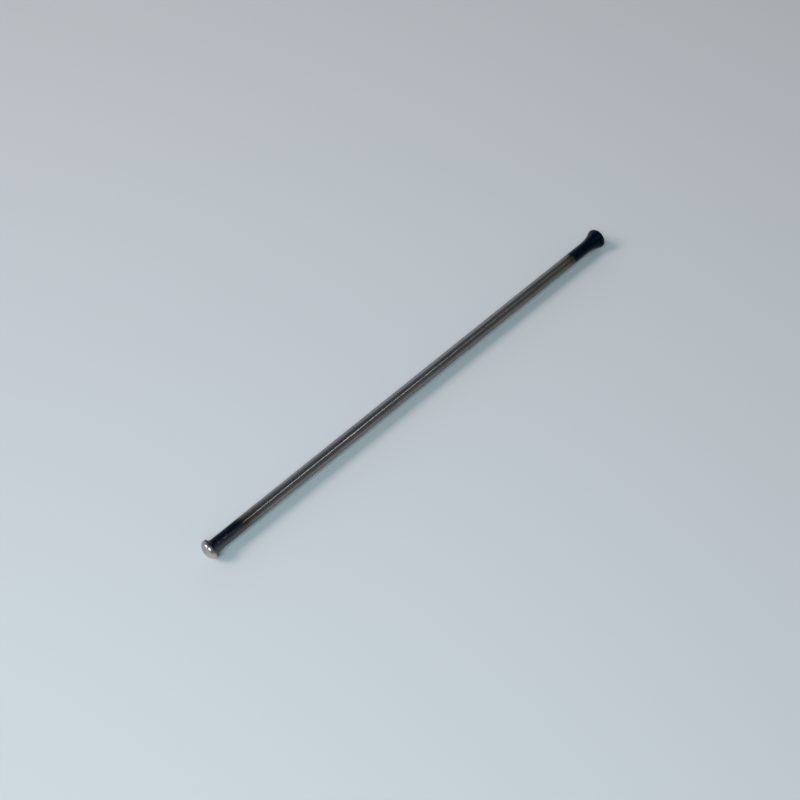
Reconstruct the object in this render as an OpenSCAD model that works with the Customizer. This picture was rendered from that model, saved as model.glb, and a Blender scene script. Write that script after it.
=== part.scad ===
// Solid one-piece engine pushrod: a ball head that seats in the tappet, a plain round shaft,
// and a flared cup with a spherical socket for the rocker's ball.
// The rod lies along X, the ball head towards -X and the cup towards +X, its widest end touching z = 0.
// Lengths are in millimetres.

/* [Rod] */
// Overall length, from the ball head's pole to the cup's rim
rod_length = 410; // [200:1:600]
// Diameter of the shaft
shaft_d = 10; // [9.4:0.1:10.6]

/* [Ball head] */
// Diameter of the head
head_d = 14.8; // [14:0.1:15.6]
// Radius of the spherical face that seats in the tappet
ball_r = 9.65; // [9:0.05:16]
// Rounding between the spherical face and the head's side
head_edge_r = 2.4; // [0.4:0.1:2.8]
// Height of the head's straight side
head_side = 1.3; // [0.6:0.1:4]
// Rounding between the head's side and its underside
head_brim_r = 1.2; // [0.8:0.1:1.6]
// Radius of the hollow fillet from the shaft out to the head
neck_r = 2.7; // [2.4:0.1:6]

/* [Cup] */
// Diameter of the cup
cup_d = 16.4; // [16:0.1:18]
// Radius of the hollow flare from the shaft out to the cup
flare_r = 32; // [15:0.5:45]
// Height of the cup's straight side
cup_side = 0.6; // [0.2:0.1:2]
// Rounding at each end of the cup's side
lip_r = 2; // [1:0.1:2.1]

/* [Socket] */
// Diameter of the spherical socket
socket_d = 11; // [10.5:0.1:11]
// Depth of the socket at its middle
socket_depth = 5.2; // [4:0.1:5.2]
// Diameter of the socket's mouth, across its 45 degree lead-in
mouth_d = 11.5; // [11.2:0.1:11.8]

/* [Hidden] */
$fn = 180;

steel_colour = [0.34, 0.32, 0.29];

shaft_r = shaft_d / 2;
head_r = head_d / 2;
cup_r = cup_d / 2;
socket_r = socket_d / 2;
mouth_r = mouth_d / 2;

// Height of the rod's axis, at which the widest end touches z = 0
axis_z = max(head_r, cup_r);

// How far along the rod a hollow arc, and the rounding that it runs into, climb by a given rise
function climb(hollow_r, round_r, rise) =
    let (reach = hollow_r + round_r) sqrt(reach ^ 2 - (reach - rise) ^ 2);

// Centres of the half section's arcs, as [radius, distance from the ball head's pole]
ball_centre = [0, ball_r];
edge_centre = [
    head_r - head_edge_r,
    ball_r - sqrt((ball_r - head_edge_r) ^ 2 - (head_r - head_edge_r) ^ 2)
];
brim_centre = [head_r - head_brim_r, edge_centre.y + head_side];
neck_centre = [shaft_r + neck_r, brim_centre.y + climb(neck_r, head_brim_r, head_r - shaft_r)];
lip_centre = [cup_r - lip_r, rod_length - lip_r];
shoulder_centre = [lip_centre.x, lip_centre.y - cup_side];
flare_centre = [shaft_r + flare_r, shoulder_centre.y - climb(flare_r, lip_r, cup_r - shaft_r)];
socket_centre = [0, rod_length - socket_depth + socket_r];

// Round of the half section about one of its centres
module disc(centre, r) {
    translate(centre) circle(r = r);
}

// Block of the half section, from the axis out to a radius, between two places along the rod
module block(radius, from, to) {
    translate([0, from]) square([radius, to - from]);
}

// Hollow arc of the half section, from the shaft's side to a rounding, with its metal carried on to root.
// The outline turns anticlockwise at either end of the rod.
module hollow(centre, r, rounding_centre, root) {
    outline = [[0, root], [rounding_centre.x, root], rounding_centre, centre, [0, centre.y]];
    difference() {
        polygon(root < centre.y ? outline : [for (i = [len(outline) - 1:-1:0]) outline[i]]);
        disc(centre, r);
    }
}

// Spherical face with its rounded edge, the straight side, and the underside's fillet
module head_section() {
    intersection() {
        disc(ball_centre, ball_r);
        polygon([
            [0, -ball_r],
            2 * edge_centre - ball_centre,
            edge_centre,
            [edge_centre.x, brim_centre.y],
            [0, brim_centre.y]
        ]);
    }
    disc(edge_centre, head_edge_r);
    block(head_r, edge_centre.y, brim_centre.y);
    disc(brim_centre, head_brim_r);
    hollow(neck_centre, neck_r, brim_centre, edge_centre.y);
}

// Flare, rounded side and flat rim, before the socket is taken out
module cup_section() {
    hollow(flare_centre, flare_r, shoulder_centre, lip_centre.y);
    disc(shoulder_centre, lip_r);
    block(cup_r, shoulder_centre.y, lip_centre.y);
    disc(lip_centre, lip_r);
    block(lip_centre.x, shoulder_centre.y, rod_length);
}

// Spherical socket and its lead-in
module socket_section() {
    disc(socket_centre, socket_r);
    polygon([
        [0, rod_length - mouth_r / 2],
        [mouth_r / 2, rod_length - mouth_r / 2],
        [mouth_r, rod_length],
        [0, rod_length]
    ]);
}

module pushrod() {
    color(steel_colour)
        translate([-rod_length / 2, 0, axis_z])
            rotate([0, 90, 0])
                rotate_extrude()
                    difference() {
                        union() {
                            head_section();
                            block(shaft_r, brim_centre.y, shoulder_centre.y);
                            cup_section();
                        }
                        socket_section();
                    }
}

pushrod();
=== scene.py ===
"""Engine pushrod: one forged rod with its ground, polished and blackened finishes, on a plain stage."""

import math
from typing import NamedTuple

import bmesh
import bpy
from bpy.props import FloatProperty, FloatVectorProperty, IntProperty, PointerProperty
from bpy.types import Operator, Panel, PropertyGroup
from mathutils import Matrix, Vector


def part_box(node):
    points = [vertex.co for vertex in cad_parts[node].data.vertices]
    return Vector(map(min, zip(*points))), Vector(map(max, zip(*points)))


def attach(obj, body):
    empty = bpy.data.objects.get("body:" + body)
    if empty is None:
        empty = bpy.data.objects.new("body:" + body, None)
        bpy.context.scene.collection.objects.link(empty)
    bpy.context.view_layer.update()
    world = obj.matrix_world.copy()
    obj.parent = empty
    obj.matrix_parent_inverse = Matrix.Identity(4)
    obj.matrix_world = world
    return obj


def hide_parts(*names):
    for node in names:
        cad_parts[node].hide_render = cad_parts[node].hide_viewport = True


bl_info = {
    "name": "Engine Pushrod",
    "version": (1, 0, 0),
    "blender": (4, 5, 0),
    "location": "3D View > Sidebar > Pushrod",
    "description": "Builds a one-piece engine pushrod and a plain studio stage for it",
    "category": "Object",
}

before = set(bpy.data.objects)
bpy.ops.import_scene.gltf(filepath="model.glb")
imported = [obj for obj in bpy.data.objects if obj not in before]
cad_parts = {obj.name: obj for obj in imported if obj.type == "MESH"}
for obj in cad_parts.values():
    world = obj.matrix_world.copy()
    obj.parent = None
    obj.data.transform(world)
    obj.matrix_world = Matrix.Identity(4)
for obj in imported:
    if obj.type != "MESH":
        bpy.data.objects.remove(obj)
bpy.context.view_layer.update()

NODE = "pushrod"
BODY = "root"
MM = 0.001

# The rod's length and its widest end come from the frame
ROD_LOW, ROD_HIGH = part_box(NODE)
ROD_LENGTH_MM = (ROD_HIGH.x - ROD_LOW.x) / MM
CUP_D_MM = (ROD_HIGH.z - ROD_LOW.z) / MM

# Points of the skin that are nearer to each other than this are merged, in metres
MERGE_DISTANCE = 1e-6

# Faces that meet at more than this angle have a sharp edge between them
SHARP_ANGLE = math.radians(30.0)

# Sides of the round floor, and width of the camera's sensor in millimetres
FLOOR_SIDES = 96
SENSOR_WIDTH = 36.0

# A noise runs from 0 to 1 about this level
NOISE_MIDDLE = 0.5


class Grain(NamedTuple):
    """A noise: its cells in a metre along the rod and across it, its layers, and how rough they are."""

    cells: tuple
    layers: float
    roughness: float = 0.5


# Marks of the grinding wheel, which run round the rod
RINGS = Grain((4200.0, 70.0, 70.0), 2.0, 0.6)
CHATTER = Grain((1100.0, 40.0, 40.0), 2.0)

# Marks of use, which run along the rod
STREAKS = Grain((9.0, 800.0, 800.0), 3.0, 0.6)
SCRATCHES = Grain((24.0, 2600.0, 2600.0), 1.0)
CLOUDS = Grain((26.0, 120.0, 120.0), 4.0, 0.6)

# Spots, which have no direction
SPECKS = Grain((900.0, 900.0, 900.0), 1.0)
PATCHES = Grain((160.0, 160.0, 160.0), 3.0)
MOTTLE = Grain((420.0, 420.0, 420.0), 5.0, 0.62)
PITS = Grain((1700.0, 1700.0, 1700.0), 2.0)

# Levels of a noise, from where a mark starts to where it is full
LINE_LEVELS = (0.38, 0.62)
SCRATCH_LEVELS = (0.62, 0.72)
SPECK_LEVELS = (0.70, 0.78)
FILM_LEVELS = (0.36, 0.64)
RUBBED_LEVELS = (0.54, 0.70)
BLOOM_LEVELS = (0.50, 0.72)
PIT_LEVELS = (0.40, 0.64)

# Distances towards the lower front side in metres, from where a colour starts to where it is full: the
# painted floor reflection on the ball head's scale, the painted purple reflection on the cup's upper
# back side, and the painted sheen and shade of the dome
REFLECTION_SIDE = (-0.0009, 0.0031)
UPPER_PURPLE_SIDE = (-0.0020, -0.0075)
DOME_SHEEN_SIDE = (-0.0060, 0.0050)

# How far to the back a direction points where the near wall ends, and where the back wall starts
WALL_TURN = (-0.7, 0.5)


def length(name, description, millimetres):
    """A size that is held in metres, with its default given in millimetres."""
    return FloatProperty(
        name=name, description=description, default=millimetres * MM, min=0.0, unit="LENGTH", precision=5
    )


def share(name, description, value):
    """A plain number from 0 to 1."""
    return FloatProperty(
        name=name, description=description, default=value, min=0.0, max=1.0, subtype="FACTOR"
    )


def number(name, description, value):
    """A plain number from 0 up."""
    return FloatProperty(name=name, description=description, default=value, min=0.0)


def angle(name, description, degrees):
    """An angle that is held in radians, with its default given in degrees."""
    return FloatProperty(
        name=name, description=description, default=math.radians(degrees), subtype="ANGLE"
    )


def colour(name, description, red, green, blue):
    """A linear colour."""
    return FloatVectorProperty(
        name=name, description=description, default=(red, green, blue), size=3, min=0.0, subtype="COLOR"
    )


def spot(name, description, x, y, z):
    """A place on the stage, in metres."""
    return FloatVectorProperty(
        name=name, description=description, default=(x, y, z), size=3, subtype="TRANSLATION"
    )


def direction(name, description, x, y, z):
    """A direction from the middle of the stage."""
    return FloatVectorProperty(
        name=name, description=description, default=(x, y, z), size=3, subtype="DIRECTION"
    )


def metres(name, description, value):
    """A size of the stage, in metres."""
    return FloatProperty(name=name, description=description, default=value, min=0.0, unit="LENGTH")


def count(name, description, steps):
    """A number of steps."""
    return IntProperty(name=name, description=description, default=steps, min=1)


class RodSizes(PropertyGroup):
    """Sizes of the rod, which repeat the solid's, and the fineness of its skin."""

    rod_length: length("Length", "From the ball head's pole to the cup's rim", ROD_LENGTH_MM)
    shaft_d: length("Shaft", "Diameter of the shaft", 10.0)
    head_d: length("Head", "Diameter of the ball head", 14.8)
    ball_r: length("Ball face", "Radius of the spherical face that seats in the tappet", 9.65)
    head_edge_r: length("Head edge", "Rounding between the spherical face and the head's side", 2.4)
    head_side: length("Head side", "Height of the head's straight side", 1.3)
    head_brim_r: length("Head brim", "Rounding between the head's side and its underside", 1.2)
    neck_r: length("Neck", "Radius of the hollow fillet from the shaft out to the head", 2.7)
    cup_d: length("Cup", "Diameter of the cup", CUP_D_MM)
    flare_r: length("Flare", "Radius of the hollow flare from the shaft out to the cup", 32.0)
    cup_side: length("Cup side", "Height of the cup's straight side", 0.6)
    lip_r: length("Lip", "Rounding at each end of the cup's side", 2.0)
    socket_d: length("Socket", "Diameter of the spherical socket", 11.0)
    socket_depth: length("Socket depth", "Depth of the socket at its middle", 5.2)
    mouth_d: length("Mouth", "Diameter of the socket's mouth, across its 45 degree lead-in", 11.5)
    turns: count("Turns", "Facets round the rod", 160)
    shaft_steps: count("Shaft steps", "Lengths that the shaft is cut into", 48)
    side_steps: count("Side steps", "Lengths that the head's straight side is cut into", 2)
    wide_steps: count("Wide steps", "Facets along a dome, a flare or a socket", 24)
    round_steps: count("Round steps", "Facets along the neck and the lip", 14)
    edge_steps: count("Edge steps", "Facets along the shorter roundings", 7)


class RodFinish(PropertyGroup):
    """Colours, places and roughness of the finishes. Places are measured from the ball head's pole."""

    ground: colour("Ground steel", "Shaft, as it was ground", 0.236, 0.226, 0.236)
    stain: colour("Oil stain", "Brown film on the shaft", 0.122, 0.112, 0.094)
    scratch: colour("Scratched steel", "Fine scratches along the shaft", 0.36, 0.34, 0.33)
    # Lit and shaded copies of the dome's polished steel: a painted sheen on the lower front side,
    # painted shade on the upper back side
    polished: colour("Polished steel", "Bright side of the ball head", 0.62, 0.53, 0.50)
    shaded_dome: colour("Dulled steel", "Dull side of the ball head", 0.37, 0.335, 0.345)
    seat: colour("Seat", "Ground seat in the socket", 0.56, 0.50, 0.47)
    temper: colour("Temper brown", "Shaft beside the blackened ends", 0.092, 0.068, 0.049)
    scale: colour("Blue-black scale", "Skin of the ball head's hardened end", 0.007, 0.013, 0.026)
    cup_scale: colour("Cup scale", "Darker skin of the cup's hardened end", 0.003, 0.010, 0.022)
    # Purple: real spots on the cup's scale, and a painted reflection on the cup's upper back side
    bloom: colour("Purple bloom", "Heat tint on the cup's upper side", 0.032, 0.026, 0.040)
    # Lighter scale: a painted floor reflection on the ball head's lower front side, and real wear on the
    # scale's spots and the cup's rim
    worn_and_lit_scale: colour("Rubbed scale", "Scale that handling has thinned", 0.142, 0.142, 0.164)
    polish_end: length("Polish end", "Where the head's polish has faded into the scale", 6.4)
    polish_fade: length("Polish fade", "Length that the head's polish fades over", 2.4)
    near_scale_end: length("Near scale end", "Middle of the edge of the ball head's scale", 32.0)
    near_scale_fade: length("Near scale fade", "Length that the ball head's scale fades over", 4.6)
    near_temper: length("Near temper", "Width of the brown band next to the ball head's scale", 9.0)
    clean_start: length("Clean start", "Where the shaft is clear of the ball head's heat", 61.0)
    clean_end: length("Clean end", "Where the shaft starts to darken towards the cup", 150.0)
    far_temper: length("Far temper", "Width of the brown band next to the cup's scale", 10.0)
    far_scale_start: length("Far scale start", "Middle of the edge of the cup's scale", 375.4)
    far_scale_fade: length("Far scale fade", "Length that the cup's scale fades over", 3.2)
    # Where the painted purple reflection on the cup's upper back side starts, and where it is full
    purple_start: length("Bloom start", "Where the cup's purple bloom starts", 392.0)
    purple_full: length("Bloom full", "Where the cup's purple bloom is full", 403.0)
    edge_waver: length("Edge waver", "How far the edges of the scale wander", 9.0)
    rim_wear: length("Rim wear", "How far down the lip the wear of its rim reaches", 0.6)
    seat_margin: length("Seat margin", "How far the ground seat stays inside the socket's mouth", 0.15)
    # Turn of the lower front side, which carries the painted floor reflection and the dome's painted
    # sheen
    lower_front_turn: angle("Handled turn", "Turn of the rubbed side, down from the front", 24.0)
    ground_rough: share("Ground roughness", "Roughness of the shaft", 0.20)
    polished_rough: share("Polished roughness", "Roughness of the ball head and the seat", 0.22)
    scale_rough: share("Scale roughness", "Roughness of the ball head's blackened end", 0.36)
    cup_rough: share("Cup roughness", "Roughness of the cup's blackened end", 0.32)


class RodMarks(PropertyGroup):
    """How strong the marks are that the rod's making and its use have left."""

    line_rings: share("Fine lines", "Share of the fine rings in the grinding lines", 0.66)
    line_chatter: share("Coarse lines", "Share of the wheel's chatter in the grinding lines", 0.34)
    film_stain: share("Film stain", "How much the oily film stains the shaft", 0.35)
    heat_stain: share("Heat stain", "How much the heat of the ends stains the shaft", 0.65)
    line_stain: share("Line stain", "How much the shaft's grinding lines hold stain", 0.45)
    scratch_shine: share("Scratch shine", "How bright the scratches are", 0.55)
    speck_stain: share("Speck stain", "How brown the specks are", 0.60)
    near_brown: share("Near brown", "How brown the band next to the ball head's scale is", 0.70)
    # The next two set how strong the painted floor reflection on the ball head's scale is, all over and
    # through the mottle
    reflection_evenly: share("Rubbed evenly", "How far the rubbed side is worn all over", 0.27)
    reflection_mottle: share("Rubbed mottle", "How far the mottle carries the rubbed side's wear", 0.90)
    rubbed_spots: share("Rubbed spots", "How far the spots on the ball head's scale are worn", 0.32)
    bloom_spots: share("Bloom spots", "How purple the spots on the cup's scale are", 0.40)
    rim_pits: share("Rim pits", "How far the pits carry the rim's wear", 0.30)
    rim_mottle: share("Rim mottle", "How far the mottle carries the rim's wear", 0.35)
    polish_clouds: share("Polish clouds", "How much the ball head's polish varies", 0.30)
    polish_lines: share("Polish lines", "How much the ball head's turned lines show", 0.20)
    seat_clouds: share("Seat clouds", "How much the socket's seat is stained", 0.50)
    seat_lines: share("Seat lines", "How much the seat's turned lines hold stain", 0.30)
    ground_sheen: share("Ground sheen", "How much the shaft's roughness varies", 0.10)
    scale_sheen: share("Scale sheen", "How much the scale's roughness varies", 0.20)
    bright_sheen: share("Bright sheen", "How much the bright faces' roughness varies", 0.06)
    groove_depth: number("Groove depth", "Depth of one groove, in metres", 6.0e-6)
    ring_depth: number("Ring depth", "Depth of the shaft's fine rings, in grooves", 0.75)
    chatter_depth: number("Chatter depth", "Depth of the shaft's chatter, in grooves", 0.25)
    scratch_depth: number("Scratch depth", "Depth of the scratches, in grooves", 0.50)
    mottle_depth: number("Mottle depth", "Depth of the scale's mottle, in grooves", 6.0)
    pit_depth: number("Pit depth", "Depth of the scale's pits, in grooves", 4.0)
    bright_depth: number("Bright depth", "Depth of the bright faces' rings, in grooves", 0.25)


class StageLook(PropertyGroup):
    """The floor, the light and the camera."""

    floor: colour("Floor", "Colour of the floor", 0.635, 0.665, 0.690)
    floor_rough: share("Floor roughness", "Roughness of the floor", 0.9)
    floor_shine: share("Floor shine", "Specular level of the floor", 0.2)
    floor_radius: metres("Floor radius", "Reach of the floor", 5.0)
    wall: colour("Back wall", "Light from the horizon behind the rod", 0.88, 0.985, 1.06)
    near_wall: colour("Near wall", "Light from the horizon in front of the rod", 0.372, 0.381, 0.340)
    ceiling: colour("Ceiling", "Light from straight above", 0.085, 0.106, 0.116)
    ceiling_curve: number("Ceiling curve", "Power by which the walls dim with the height", 0.8)
    window: colour("Window", "Light from a low window beyond the cup", 0.94, 1.02, 1.08)
    window_aim: direction("Window aim", "Direction of the window's middle", 0.67, 0.72, 0.17)
    window_edge: share("Window edge", "Cosine of the angle from the window's middle to its edge", 0.86)
    key_place: spot("Key place", "Middle of the soft key lamp", -4.32, 3.20, 4.28)
    key_width: metres("Key width", "Width of the soft key lamp", 3.78)
    key_depth: metres("Key depth", "Depth of the soft key lamp", 2.0)
    key_power: number("Key power", "Watts of the soft key lamp", 298.0)
    key_colour: colour("Key colour", "Colour of the soft key lamp", 1.0, 0.80, 0.78)
    fill_place: spot("Fill place", "Middle of the fill lamp overhead", -0.88, -0.40, 1.20)
    fill_width: metres("Fill width", "Width of the fill lamp", 1.04)
    fill_depth: metres("Fill depth", "Depth of the fill lamp", 0.64)
    fill_power: number("Fill power", "Watts of the fill lamp", 10.2)
    fill_colour: colour("Fill colour", "Colour of the fill lamp", 0.79, 1.04, 1.12)
    strip_place: spot("Strip place", "Middle of the strip lamp over the shaft", 0.18, -0.330, 1.0)
    strip_width: metres("Strip width", "Width of the strip lamp", 0.54)
    strip_power: number("Strip power", "Watts of the strip lamp", 0.58)
    tail_place: spot("Tail place", "Middle of the dimmer strip towards the cup", 0.74, -0.330, 1.0)
    tail_width: metres("Tail width", "Width of the dimmer strip", 0.58)
    tail_power: number("Tail power", "Watts of the dimmer strip", 0.24)
    strip_depth: metres("Strip depth", "Depth of both strips", 0.09)
    strip_colour: colour("Strip colour", "Colour of both strips", 1.0, 1.0, 1.0)
    target: spot("Target", "Point on the floor at the middle of the view", -0.02060, 0.00140, 0.0)
    azimuth: angle("Azimuth", "Camera's turn about the upright, from the front", -43.357)
    elevation: angle("Elevation", "Camera's height above the horizon", 58.708)
    distance: metres("Distance", "Camera's distance from the target", 0.71971)
    lens: number("Lens", "Focal length in millimetres", 42.75)


class Signal:
    """An output of a shader node. Arithmetic on it adds Math nodes to its tree."""

    def __init__(self, tree, socket):
        self.tree = tree
        self.socket = socket

    def __getitem__(self, name):
        """Another output of the same node."""
        return Signal(self.tree, self.socket.node.outputs[name])

    def __add__(self, other):
        return self.tree.maths("ADD", self, other)

    def __radd__(self, other):
        return self.tree.maths("ADD", other, self)

    def __sub__(self, other):
        return self.tree.maths("SUBTRACT", self, other)

    def __rsub__(self, other):
        return self.tree.maths("SUBTRACT", other, self)

    def __mul__(self, other):
        return self.tree.maths("MULTIPLY", self, other)

    def __rmul__(self, other):
        return self.tree.maths("MULTIPLY", other, self)

    def __pow__(self, other):
        return self.tree.maths("POWER", self, other)


class Tree:
    """A shader tree that grows by one node at a time."""

    def __init__(self, owner):
        owner.use_nodes = True
        self.nodes = owner.node_tree.nodes
        self.links = owner.node_tree.links
        self.nodes.clear()

    def add(self, kind, settings=None, sockets=None):
        """Add a node with its settings, then its sockets' values or links. Returns its first output."""
        node = self.nodes.new(kind)
        for name, value in (settings or {}).items():
            setattr(node, name, value)
        live = [socket for socket in node.inputs if socket.enabled]
        by_name = {socket.name: socket for socket in live}
        for key, value in (sockets or {}).items():
            socket = live[key] if isinstance(key, int) else by_name[key]
            if isinstance(value, Signal):
                self.links.new(value.socket, socket)
            else:
                socket.default_value = value
        outputs = [socket for socket in node.outputs if socket.enabled]
        return Signal(self, outputs[0]) if outputs else None

    def maths(self, operation, *values):
        """Work on numbers and signals with one Math node."""
        return self.add("ShaderNodeMath", {"operation": operation}, dict(enumerate(values)))

    def ease(self, value, start, end):
        """Go smoothly from 0 at start to 1 at end."""
        limits = {"Value": value, "From Min": start, "From Max": end}
        return self.add("ShaderNodeMapRange", {"interpolation_type": "SMOOTHSTEP"}, limits)

    def step(self, value, middle, width):
        """Go smoothly from 0 to 1 over a width about a middle."""
        return self.ease(value, middle - width / 2, middle + width / 2)

    def noise(self, place, grain):
        """Noise of one grain, from 0 to 1."""
        cells = self.add("ShaderNodeVectorMath", {"operation": "MULTIPLY"}, {0: place, 1: grain.cells})
        look = {"Vector": cells, "Scale": 1.0, "Detail": grain.layers, "Roughness": grain.roughness}
        return self.add("ShaderNodeTexNoise", {"noise_dimensions": "3D"}, look)

    def tint(self, share_of_second, first, second):
        """Mix two colours."""
        sockets = {"Factor": share_of_second, "A": rgba(first), "B": rgba(second)}
        return self.add("ShaderNodeMix", {"data_type": "RGBA"}, sockets)


def rgba(value):
    """A colour with its alpha, or a signal as it is."""
    return value if isinstance(value, Signal) else (*value, 1.0)


def blend(share_of_second, first, second):
    """Mix two numbers or signals."""
    return first + (second - first) * share_of_second


class SectionPen:
    """Draws the rod's half section as one chain of edges above its axis."""

    def __init__(self, start, axis_height):
        self.mesh = bmesh.new()
        self.axis_height = axis_height
        self.tip = self.mesh.verts.new((start, 0.0, axis_height))

    def arc(self, along, radius, turn, steps):
        """Turn the tip about a centre at a place along the rod and a radius from its axis."""
        turned = bmesh.ops.spin(
            self.mesh,
            geom=[self.tip],
            cent=(along, 0.0, self.axis_height + radius),
            axis=(0.0, 1.0, 0.0),
            angle=turn,
            steps=steps,
        )
        self.tip = next(part for part in turned["geom_last"] if isinstance(part, bmesh.types.BMVert))

    def line(self, along, outward, steps=1):
        """Carry the tip straight on, in a number of equal steps."""
        for _ in range(steps):
            grown = bmesh.ops.extrude_vert_indiv(self.mesh, verts=[self.tip])
            self.tip = grown["verts"][0]
            bmesh.ops.translate(self.mesh, verts=[self.tip], vec=(along / steps, 0.0, outward / steps))


def climb_angle(hollow_r, round_r, rise):
    """Turn of a hollow arc, and of the rounding that it runs into, over a rise from the shaft."""
    return math.acos(1.0 - rise / (hollow_r + round_r))


def draw_section(sizes):
    """Draw the half section from the ball head's pole to the middle of the socket's floor."""
    shaft_r = sizes.shaft_d / 2
    head_r = sizes.head_d / 2
    cup_r = sizes.cup_d / 2
    socket_r = sizes.socket_d / 2
    mouth_r = sizes.mouth_d / 2
    pole = -sizes.rod_length / 2
    rim = sizes.rod_length / 2
    quarter = math.pi / 2

    # Ball head: dome, edge, side, brim and neck
    dome_turn = math.asin((head_r - sizes.head_edge_r) / (sizes.ball_r - sizes.head_edge_r))
    edge_at = pole + sizes.ball_r - (sizes.ball_r - sizes.head_edge_r) * math.cos(dome_turn)
    brim_at = edge_at + sizes.head_side
    neck_turn = climb_angle(sizes.neck_r, sizes.head_brim_r, head_r - shaft_r)
    neck_at = brim_at + (sizes.neck_r + sizes.head_brim_r) * math.sin(neck_turn)
    pen = SectionPen(pole, cup_r)
    pen.arc(pole + sizes.ball_r, 0.0, dome_turn, sizes.wide_steps)
    pen.arc(edge_at, head_r - sizes.head_edge_r, quarter - dome_turn, sizes.edge_steps)
    pen.line(sizes.head_side, 0.0, sizes.side_steps)
    pen.arc(brim_at, head_r - sizes.head_brim_r, neck_turn, sizes.edge_steps)
    pen.arc(neck_at, shaft_r + sizes.neck_r, -neck_turn, sizes.round_steps)

    # Shaft, and the cup's flare, side, lip and rim
    flare_turn = climb_angle(sizes.flare_r, sizes.lip_r, cup_r - shaft_r)
    lip_at = rim - sizes.lip_r
    shoulder_at = lip_at - sizes.cup_side
    flare_at = shoulder_at - (sizes.flare_r + sizes.lip_r) * math.sin(flare_turn)
    pen.line(flare_at - neck_at, 0.0, sizes.shaft_steps)
    pen.arc(flare_at, shaft_r + sizes.flare_r, -flare_turn, sizes.wide_steps)
    pen.arc(shoulder_at, cup_r - sizes.lip_r, flare_turn, sizes.edge_steps)
    pen.line(sizes.cup_side, 0.0)
    pen.arc(lip_at, cup_r - sizes.lip_r, quarter, sizes.round_steps)
    pen.line(0.0, mouth_r - (cup_r - sizes.lip_r))

    # Lead-in at 45 degrees, as far as it meets the socket's sphere, and the sphere
    socket_at = rim - sizes.socket_depth + socket_r
    proud = rim - socket_at
    middle = (proud + mouth_r) / 2
    lead_in = middle - math.sqrt(middle ** 2 - (proud ** 2 + mouth_r ** 2 - socket_r ** 2) / 2)
    socket_turn = quarter - math.asin((lead_in - proud) / socket_r)
    pen.line(-lead_in, -lead_in)
    pen.arc(socket_at, 0.0, -socket_turn, sizes.wide_steps)
    return pen.mesh


def turn_rod(sizes):
    """Spin the half section about the rod's axis into one closed skin."""
    mesh = draw_section(sizes)
    bmesh.ops.spin(
        mesh,
        geom=mesh.verts[:] + mesh.edges[:],
        cent=(0.0, 0.0, sizes.cup_d / 2),
        axis=(1.0, 0.0, 0.0),
        angle=math.tau,
        steps=sizes.turns,
        use_merge=True,
    )
    bmesh.ops.remove_doubles(mesh, verts=mesh.verts[:], dist=MERGE_DISTANCE)
    bmesh.ops.recalc_face_normals(mesh, faces=mesh.faces[:])
    loose = [edge for edge in mesh.edges if len(edge.link_faces) != 2]
    if loose:
        raise RuntimeError(f"the rod's skin is open at {len(loose)} edges")
    skin = bpy.data.meshes.new("forged_rod")
    mesh.to_mesh(skin)
    mesh.free()
    skin.shade_smooth()
    skin.set_sharp_from_angle(angle=SHARP_ANGLE)
    rod = bpy.data.objects.new("forged_rod", skin)
    bpy.context.scene.collection.objects.link(rod)
    return rod


class RodSurface:
    """Places on the rod, and the marks of its making and its use, as signals of one shader tree."""

    def __init__(self, tree, sizes, finish, marks):
        place = tree.add("ShaderNodeTexCoord")["Object"]
        axes = tree.add("ShaderNodeSeparateXYZ", {}, {"Vector": place})
        upward = axes["Z"] - sizes.cup_d / 2
        self.reach = axes["X"] + sizes.rod_length / 2
        self.radius = (axes["Y"] * axes["Y"] + upward * upward) ** 0.5
        # Distance towards the lower front side, where the painted reflections and the dome's painted
        # sheen fall
        frontward = axes["Y"] * -math.cos(finish.lower_front_turn)
        self.lower_front = frontward - upward * math.sin(finish.lower_front_turn)

        # Turned marks follow the section, so that they run round the ball head and the socket too
        section = {"X": self.reach + self.radius, "Y": axes["Y"], "Z": axes["Z"]}
        turned = tree.add("ShaderNodeCombineXYZ", {}, section)
        self.rings = tree.noise(turned, RINGS)
        self.chatter = tree.noise(turned, CHATTER)
        ground = self.rings * marks.line_rings + self.chatter * marks.line_chatter
        self.lines = tree.ease(ground, *LINE_LEVELS) - NOISE_MIDDLE

        # Marks along the rod, and spots
        self.streaks = tree.noise(place, STREAKS)
        self.scratches = tree.ease(tree.noise(place, SCRATCHES), *SCRATCH_LEVELS)
        self.clouds = tree.noise(place, CLOUDS)
        self.specks = tree.ease(tree.noise(place, SPECKS), *SPECK_LEVELS)
        self.patches = tree.noise(place, PATCHES)
        self.mottle = tree.noise(place, MOTTLE)
        self.pits = tree.noise(place, PITS)

        # Place along the rod that wanders, for the edges of the scale
        self.edge = self.reach + (self.patches - NOISE_MIDDLE) * finish.edge_waver


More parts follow.
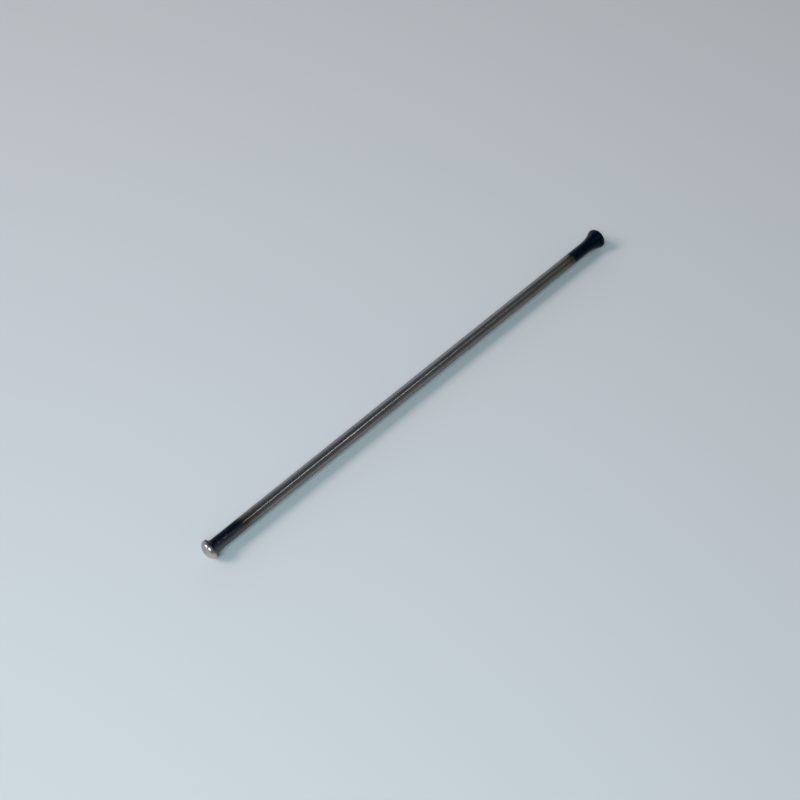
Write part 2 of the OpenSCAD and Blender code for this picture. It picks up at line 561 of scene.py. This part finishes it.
class RodZones:
    """How much of each finish there is, along the rod."""

    def __init__(self, tree, surface, sizes, finish, marks):
        reach = surface.reach
        edge = surface.edge
        rim = sizes.rod_length
        near_end = finish.near_scale_end
        far_start = finish.far_scale_start

        # Bright faces: the ball head's dome and the socket's seat
        seat_start = rim - sizes.socket_depth - finish.seat_margin
        seat_radius = sizes.mouth_d / 2 - finish.seat_margin
        past_floor = tree.step(reach, seat_start, finish.seat_margin)
        outside_mouth = tree.step(surface.radius, seat_radius, finish.seat_margin)
        self.dome = 1.0 - tree.ease(reach, finish.polish_end - finish.polish_fade, finish.polish_end)
        self.seat = past_floor * (1.0 - outside_mouth)
        self.bright = self.dome + self.seat

        # Blackened ends, and the worn rim of the cup
        self.near_scale = 1.0 - tree.step(edge, near_end, finish.near_scale_fade)
        self.far_scale = tree.step(edge, far_start, finish.far_scale_fade)
        self.scale = self.near_scale + self.far_scale
        self.rim = tree.ease(reach, rim - finish.rim_wear, rim)

        # What the heat of the ends has done to the shaft
        near_temper = 1.0 - tree.ease(edge, near_end, near_end + finish.near_temper)
        far_temper = tree.ease(edge, far_start - finish.far_temper, far_start)
        self.temper = near_temper * marks.near_brown + far_temper
        near_dark = 1.0 - tree.ease(reach, near_end, finish.clean_start)
        self.darkened = near_dark + tree.ease(reach, finish.clean_end, rim)


def shaft_colour(tree, surface, zones, finish, marks):
    """Ground steel with an oily film, stray specks and scratches, browned beside the blackened ends."""
    film = tree.ease((surface.clouds + surface.streaks) * 0.5, *FILM_LEVELS)
    heat = zones.darkened * marks.heat_stain
    stained = film * marks.film_stain + heat + surface.lines * marks.line_stain
    steel = tree.tint(stained, finish.ground, finish.stain)
    scratched = tree.tint(surface.scratches * marks.scratch_shine, steel, finish.scratch)
    specked = tree.tint(surface.specks * marks.speck_stain, scratched, finish.temper)
    return tree.tint(zones.temper, specked, finish.temper)


def scale_colour(tree, surface, zones, finish, marks):
    """Blue-black scale: a painted floor reflection on the lower front side of the ball head's end,
    broken up by the mottle, with worn spots; a painted purple reflection on the cup's upper back side,
    with purple spots, and a worn rim.
    """
    # The lower front side of the ball head's scale is painted lighter, a painted floor reflection that
    # the mottle breaks up
    lightened = surface.mottle * marks.reflection_mottle + marks.reflection_evenly
    floor_reflection = tree.ease(surface.lower_front, *REFLECTION_SIDE) * lightened
    rubbed_spots = tree.ease(surface.mottle, *RUBBED_LEVELS) * marks.rubbed_spots
    near_black = tree.tint(floor_reflection + rubbed_spots, finish.scale, finish.worn_and_lit_scale)
    # The cup's upper back side is painted purple towards the rim, a painted reflection; the mottle adds
    # real purple spots all round
    near_rim = tree.ease(surface.reach, finish.purple_start, finish.purple_full)
    upper_purple = tree.ease(surface.lower_front, *UPPER_PURPLE_SIDE) * near_rim
    bloom_spots = tree.ease(surface.mottle, *BLOOM_LEVELS) * marks.bloom_spots
    purple_cup = tree.tint(upper_purple + bloom_spots, finish.cup_scale, finish.bloom)
    pitted = tree.ease(surface.pits, *PIT_LEVELS) * marks.rim_pits
    rim_wear = zones.rim * (pitted + surface.mottle * marks.rim_mottle)
    far_black = tree.tint(rim_wear, purple_cup, finish.worn_and_lit_scale)
    return tree.tint(zones.far_scale, near_black, far_black)


def bright_colour(tree, surface, zones, finish, marks):
    """Polished ball head with a painted sheen on its lower front side and painted shade on its upper
    back side, and the ground seat in the socket.
    """
    clouded = (surface.clouds - NOISE_MIDDLE) * marks.polish_clouds
    # Painted sheen towards the lower front and painted shade towards the upper back, with clouds in the
    # polish
    polish = tree.ease(surface.lower_front, *DOME_SHEEN_SIDE) + clouded
    dome = tree.tint(polish + surface.lines * marks.polish_lines, finish.shaded_dome, finish.polished)
    stained = surface.clouds * marks.seat_clouds + surface.lines * marks.seat_lines
    seat = tree.tint(stained, finish.seat, finish.stain)
    return tree.tint(zones.seat, dome, seat)


def rod_roughness(surface, zones, finish, marks):
    """Roughness that varies with the grinding lines, the film and the mottle."""
    grain = surface.lines + (surface.clouds - NOISE_MIDDLE)
    ground = finish.ground_rough + grain * marks.ground_sheen
    black = blend(zones.far_scale, finish.scale_rough, finish.cup_rough)
    scale = black + (surface.mottle - NOISE_MIDDLE) * marks.scale_sheen
    bright = finish.polished_rough + grain * marks.bright_sheen
    return blend(zones.bright, blend(zones.scale, ground, scale), bright)


def rod_height(surface, zones, marks):
    """Height of the marks, in grooves."""
    turned = surface.rings * marks.ring_depth + surface.chatter * marks.chatter_depth
    ground = turned - surface.scratches * marks.scratch_depth
    scale = surface.mottle * marks.mottle_depth + surface.pits * marks.pit_depth
    bright = surface.rings * marks.bright_depth
    return blend(zones.bright, blend(zones.scale, ground, scale), bright)


def rod_steel(sizes, finish, marks):
    """Steel that is polished at the ball head, ground on the shaft and heat-blackened at both ends."""
    material = bpy.data.materials.new("rod_steel")
    tree = Tree(material)
    surface = RodSurface(tree, sizes, finish, marks)
    zones = RodZones(tree, surface, sizes, finish, marks)
    shaft = shaft_colour(tree, surface, zones, finish, marks)
    black = scale_colour(tree, surface, zones, finish, marks)
    bright = bright_colour(tree, surface, zones, finish, marks)
    steel = tree.tint(zones.bright, tree.tint(zones.scale, shaft, black), bright)
    rough = rod_roughness(surface, zones, finish, marks)
    grooves = {
        "Height": rod_height(surface, zones, marks),
        "Strength": 1.0,
        "Distance": marks.groove_depth,
    }
    normal = tree.add("ShaderNodeBump", {}, grooves)
    look = {"Base Color": steel, "Metallic": 1.0, "Roughness": rough, "Normal": normal}
    shader = tree.add("ShaderNodeBsdfPrincipled", {}, look)
    tree.add("ShaderNodeOutputMaterial", {}, {"Surface": shader})
    return material


def floor_paper(look):
    """Matt pale paper."""
    material = bpy.data.materials.new("floor_paper")
    tree = Tree(material)
    matt = {
        "Base Color": rgba(look.floor),
        "Roughness": look.floor_rough,
        "Specular IOR Level": look.floor_shine,
    }
    shader = tree.add("ShaderNodeBsdfPrincipled", {}, matt)
    tree.add("ShaderNodeOutputMaterial", {}, {"Surface": shader})
    return material


def lay_floor(look):
    """A wide round floor at the height that the rod lies on."""
    mesh = bmesh.new()
    bmesh.ops.create_circle(mesh, cap_ends=True, segments=FLOOR_SIDES, radius=look.floor_radius)
    paper = bpy.data.meshes.new("floor")
    mesh.to_mesh(paper)
    mesh.free()
    paper.materials.append(floor_paper(look))
    floor = bpy.data.objects.new("floor", paper)
    bpy.context.scene.collection.objects.link(floor)


def light_room(look):
    """Walls that are bright at the horizon and fall off to a dim ceiling, with one low window."""
    world = bpy.data.worlds.new("studio")
    tree = Tree(world)
    sight = tree.add("ShaderNodeTexCoord")["Generated"]
    axes = tree.add("ShaderNodeSeparateXYZ", {}, {"Vector": sight})
    climb = tree.maths("MAXIMUM", axes["Z"], 0.0)
    walls = tree.tint(tree.ease(axes["Y"], *WALL_TURN), look.near_wall, look.wall)
    dimmed = tree.tint(climb ** look.ceiling_curve, walls, look.ceiling)
    sides = {0: sight, 1: look.window_aim}
    towards = tree.add("ShaderNodeVectorMath", {"operation": "DOT_PRODUCT"}, sides)["Value"]
    light = tree.tint(tree.ease(towards, look.window_edge, 1.0), dimmed, look.window)
    background = tree.add("ShaderNodeBackground", {}, {"Color": light, "Strength": 1.0})
    tree.add("ShaderNodeOutputWorld", {}, {"Surface": background})
    bpy.context.scene.world = world


def hang_lamp(name, place, width, depth, power, tint):
    """A flat lamp that lies along X and faces the rod's line. Returns the object that holds it."""
    lamp = bpy.data.lights.new(name, "AREA")
    lamp.shape = "RECTANGLE"
    lamp.size = width
    lamp.size_y = depth
    lamp.energy = power
    lamp.color = tint
    holder = bpy.data.objects.new(name, lamp)
    holder.location = place
    holder.rotation_mode = "QUATERNION"
    holder.rotation_quaternion = Vector((0.0, -place[1], -place[2])).to_track_quat("-Z", "Y")
    bpy.context.scene.collection.objects.link(holder)
    return holder


def hang_strip(look, name, place, width, power):
    """A thin lamp that shows only in reflections, for the narrow highlight along the shaft."""
    strip = hang_lamp(name, place, width, look.strip_depth, power, look.strip_colour)
    strip.visible_diffuse = False


def set_camera(look):
    """A camera that looks down at the target."""
    flat = math.cos(look.elevation)
    back = Vector(
        (math.sin(look.azimuth) * flat, -math.cos(look.azimuth) * flat, math.sin(look.elevation))
    )
    lens = bpy.data.cameras.new("camera")
    lens.lens = look.lens
    lens.sensor_width = SENSOR_WIDTH
    camera = bpy.data.objects.new("camera", lens)
    camera.location = Vector(look.target) + back * look.distance
    camera.rotation_mode = "QUATERNION"
    camera.rotation_quaternion = (-back).to_track_quat("-Z", "Y")
    bpy.context.scene.collection.objects.link(camera)
    bpy.context.scene.camera = camera


class PUSHROD_OT_forge(Operator):
    """Turn the rod's half section about its axis and give it its finishes"""

    bl_idname = "pushrod.forge"
    bl_label = "Forge the rod"

    def execute(self, context):
        scene = context.scene
        rod = turn_rod(scene.pushrod_sizes)
        steel = rod_steel(scene.pushrod_sizes, scene.pushrod_finish, scene.pushrod_marks)
        rod.data.materials.append(steel)
        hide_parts(NODE)
        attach(rod, BODY)
        return {"FINISHED"}


class PUSHROD_OT_stage(Operator):
    """Lay the floor, light the room, hang the lamps and set the camera"""

    bl_idname = "pushrod.stage"
    bl_label = "Set the stage"

    def execute(self, context):
        look = context.scene.pushrod_look
        lay_floor(look)
        light_room(look)
        hang_lamp("key", look.key_place, look.key_width, look.key_depth, look.key_power, look.key_colour)
        hang_lamp(
            "fill", look.fill_place, look.fill_width, look.fill_depth, look.fill_power, look.fill_colour
        )
        hang_strip(look, "strip", look.strip_place, look.strip_width, look.strip_power)
        hang_strip(look, "tail", look.tail_place, look.tail_width, look.tail_power)
        set_camera(look)
        context.scene.view_settings.view_transform = "Standard"
        return {"FINISHED"}


class PUSHROD_PT_tools(Panel):
    """Lists the steps and what they can be changed by"""

    bl_label = "Engine Pushrod"
    bl_idname = "PUSHROD_PT_tools"
    bl_space_type = "VIEW_3D"
    bl_region_type = "UI"
    bl_category = "Pushrod"

    def draw(self, context):
        layout = self.layout
        for setting, kind in SETTINGS.items():
            group = getattr(context.scene, setting)
            column = layout.column()
            for name in kind.__annotations__:
                column.prop(group, name)
        layout.operator(PUSHROD_OT_forge.bl_idname)
        layout.operator(PUSHROD_OT_stage.bl_idname)


# The scene's settings, and all the classes that Blender is told of
SETTINGS = {
    "pushrod_sizes": RodSizes,
    "pushrod_finish": RodFinish,
    "pushrod_marks": RodMarks,
    "pushrod_look": StageLook,
}
CLASSES = (*SETTINGS.values(), PUSHROD_OT_forge, PUSHROD_OT_stage, PUSHROD_PT_tools)


def register():
    """Register the classes, and give the scene its settings."""
    for item in CLASSES:
        bpy.utils.register_class(item)
    for setting, kind in SETTINGS.items():
        setattr(bpy.types.Scene, setting, PointerProperty(type=kind))


def unregister():
    """Take the settings off the scene, and unregister the classes."""
    for setting in SETTINGS:
        delattr(bpy.types.Scene, setting)
    for item in reversed(CLASSES):
        bpy.utils.unregister_class(item)


def main():
    """Make the rod and the stage."""
    register()
    bpy.ops.pushrod.forge()
    bpy.ops.pushrod.stage()


if __name__ == "__main__":
    main()
